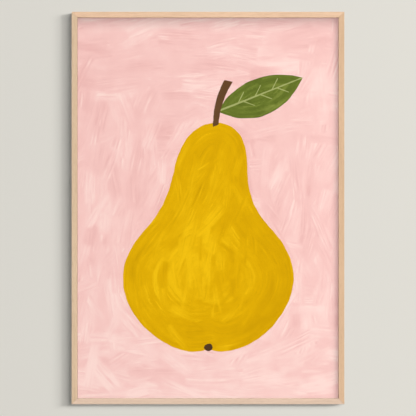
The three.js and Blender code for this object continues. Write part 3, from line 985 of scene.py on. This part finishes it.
def hardboard_material():
    """Brown hardboard with the fine screen pattern of its back."""
    material, tree, shader = new_material("hardboard")
    place = object_place(tree)
    speckle = noise_value(tree, place, scale=700, detail=5, roughness=0.7)
    fibres = noise_value(tree, place, scale=120, detail=4, roughness=0.7, distortion=0.6)
    cloud = noise_value(tree, place, scale=7, detail=4, roughness=0.6)
    dark, light = (srgb(colour) for colour in HARDBOARD_COLOURS)
    colour = mix_colour(tree, ramp(tree, speckle, between=(0.35, 0.65)), dark, light)
    fibres = ramp(tree, fibres, between=(0.45, 0.7), gives=(0.0, 0.5))
    colour = mix_colour(tree, fibres, colour, srgb(HARDBOARD_FIBRE))
    cloud = ramp(tree, cloud, between=(0.3, 0.7), gives=(0.0, 0.35))
    colour = mix_colour(tree, cloud, colour, srgb(HARDBOARD_CLOUD))
    colour_with(tree, shader, colour)
    shader.inputs["Roughness"].default_value = 0.8
    screen = [
        add(tree, "ShaderNodeTexWave", {"Vector": place, "Scale": 95, "Distortion": 0.4, "Detail": 1.0},
            bands_direction=direction).outputs["Fac"]
        for direction in ("X", "Z")
    ]
    height = maths(tree, "MULTIPLY_ADD", speckle, SPECKLE_HEIGHT, maths(tree, "MINIMUM", *screen))
    bump(tree, shader, height, distance=0.00012, strength=0.5)
    return material


def foam_board_material():
    """White card over foam, with the foam's fine cells."""
    material, tree, shader = new_material("foam_board")
    cells = {"Vector": object_place(tree), "Scale": 900}
    cells = add(tree, "ShaderNodeTexVoronoi", cells).outputs["Distance"]
    colour_with(tree, shader, mix_colour(tree, cells, *(srgb(colour) for colour in FOAM_COLOURS)))
    shader.inputs["Roughness"].default_value = 0.9
    bump(tree, shader, cells, distance=0.0001, strength=0.3)
    return material


def zinc_material():
    """Zinc-plated steel: faint spangle, fine scratches and a little dullness."""
    material, tree, shader = new_material("zinc_steel")
    place = object_place(tree)
    spangle = add(tree, "ShaderNodeTexVoronoi", {"Vector": place, "Scale": 900}).outputs["Color"]
    spangle = add(tree, "ShaderNodeSeparateColor", {"Color": spangle}).outputs[0]
    scratches = noise_value(tree, stretched(tree, place, grain_scale(Z_AXIS, along=0.06)), scale=5200)
    dull = noise_value(tree, place, scale=220, detail=4)
    colour = mix_colour(tree, spangle, ZINC_DARK, ZINC_LIGHT)
    dull_patches = ramp(tree, dull, between=(0.5, 0.75), gives=(0.0, 0.5))
    colour_with(tree, shader, mix_colour(tree, dull_patches, colour, ZINC_DULL))
    shader.inputs["Metallic"].default_value = 1.0
    tree.links.new(ramp(tree, dull, between=(0.3, 0.7), gives=(0.28, 0.5)), shader.inputs["Roughness"])
    bump(tree, shader, scratches, distance=0.00003, strength=0.25)
    return material


def rubber_material():
    material, tree, shader = new_material("black_rubber")
    grain = noise_value(tree, object_place(tree), scale=2200, detail=3)
    colour_with(tree, shader, mix_colour(tree, grain, *(srgb(colour) for colour in RUBBER_COLOURS)))
    tree.links.new(ramp(tree, grain, between=(0.3, 0.7), gives=(0.62, 0.82)), shader.inputs["Roughness"])
    bump(tree, shader, grain, distance=0.00005, strength=0.4)
    return material


SMOOTH_ANGLE = math.radians(28)


def smooth_by_angle_group():
    """Geometry nodes that shade faces smooth except across sharp edges."""
    group = bpy.data.node_groups.new("smooth_by_angle", "GeometryNodeTree")
    group.interface.new_socket("Geometry", in_out="INPUT", socket_type="NodeSocketGeometry")
    group.interface.new_socket("Geometry", in_out="OUTPUT", socket_type="NodeSocketGeometry")
    start = group.nodes.new("NodeGroupInput")
    end = group.nodes.new("NodeGroupOutput")
    angle = group.nodes.new("GeometryNodeInputMeshEdgeAngle").outputs[0]
    flat_enough = add(group, "FunctionNodeCompare", {0: angle, 1: SMOOTH_ANGLE}, operation="LESS_THAN")
    faces = add(group, "GeometryNodeSetShadeSmooth", {"Geometry": start.outputs[0]}, domain="FACE")
    edges = add(group, "GeometryNodeSetShadeSmooth",
                {"Geometry": faces.outputs[0], "Shade Smooth": flat_enough.outputs[0]}, domain="EDGE")
    group.links.new(edges.outputs[0], end.inputs[0])
    return group


def finish_nodes():
    """Gives each CAD node its material, and smooths the round ones."""
    finishes = {
        "clear_acrylic": glazing_material(),
        "hardboard": hardboard_material(),
        "foam_board": foam_board_material(),
        "zinc_steel": zinc_material(),
        "black_rubber": rubber_material(),
    }
    slots = {part["node"]: part["material_slot"] for part in frame["record"]["subparts"]}
    smooth = smooth_by_angle_group()
    offset = 0.0
    for name, node in frame["nodes"].items():
        if name in RAILS + STILES:
            node.visible_diffuse = False  # no glow from the wood on the wall and the print
            offset += GRAIN_OFFSET
            shift = [offset * share for share in GRAIN_OFFSET_SHARES]
            axis = X_AXIS if name in RAILS else Z_AXIS
            material = ash_material("ash_" + name, ASH_COLOURS[name], axis, shift)
        elif slots[name] in finishes:
            material = finishes[slots[name]]
        else:
            continue
        node.data.materials.clear()
        node.data.materials.append(material)
        modifier = node.modifiers.new("smooth_by_angle", "NODES")
        modifier.node_group = smooth


# ======================================================================================================
bpy.context.scene.view_settings.view_transform = "Standard"
make_camera()
stage_wall, stage_floor = make_stage()
make_picture()
finish_nodes()
make_lights(stage_wall, stage_floor)
make_room()
